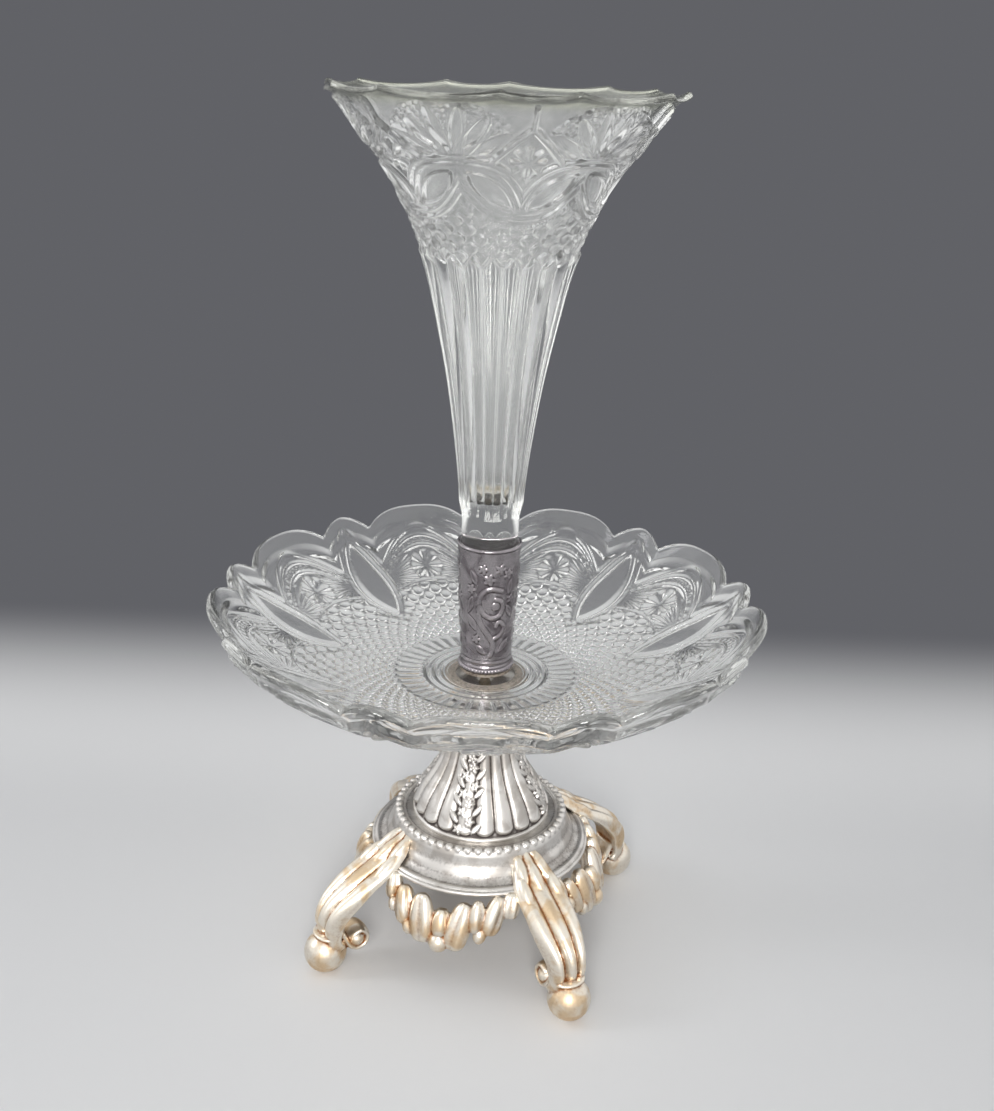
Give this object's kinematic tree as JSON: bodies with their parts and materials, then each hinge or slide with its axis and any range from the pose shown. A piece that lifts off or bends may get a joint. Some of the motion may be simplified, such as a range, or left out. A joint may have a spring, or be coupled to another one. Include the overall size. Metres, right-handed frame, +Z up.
{
  "type": "table centrepiece",
  "caption": "Epergne: a pressed glass trumpet vase stands in a metal sleeve over a scalloped pressed glass dish, on a fluted column with scroll legs and garlands.",
  "frame": {"origin": "on the table, under the middle of the foot", "axes": "+Z up along the stem; -Y is the side that faces the viewer, with a garland in the middle and a leg at each side"},
  "size_m": [0.2258, 0.2247, 0.3558],
  "materials": {
    "pressed_glass": "clear pressed glass, patterned outside and smooth inside",
    "silver_plate": "worn silver plate, satin, with grey tarnish in the hollows",
    "worn_silver": "worn warm silver plate over cast metal, brown tarnish in the hollows",
    "tarnished_silver": "dark tarnished silver plate with a purple tinge",
    "brass_parts": "dull unpolished brass",
    "cork_washers": "cork sheet"
  },
  "bodies": {
    "stand": {"base_skirt": "silver_plate", "leg_1": "worn_silver", "garland_1": "worn_silver", "leg_2": "worn_silver", "garland_2": "worn_silver", "leg_3": "worn_silver", "garland_3": "worn_silver", "leg_4": "worn_silver", "garland_4": "worn_silver", "clamp_plate": "brass_parts", "foot_nut": "brass_parts", "tie_rod": "brass_parts", "fluted_column": "silver_plate", "dish_seat": "silver_plate", "lower_gasket": "cork_washers", "glass_dish": "pressed_glass", "upper_gasket": "cork_washers", "sleeve_ring": "tarnished_silver", "vase_sleeve": "tarnished_silver", "sleeve_nut": "brass_parts"},
    "vase": {"trumpet_vase": "pressed_glass"}
  },
  "joints": [
    {"name": "vase_lift", "type": "slide", "parent": "stand", "child": "vase", "axis": [0, 0, 1], "range_m": [0, 0.06]}
  ]
}
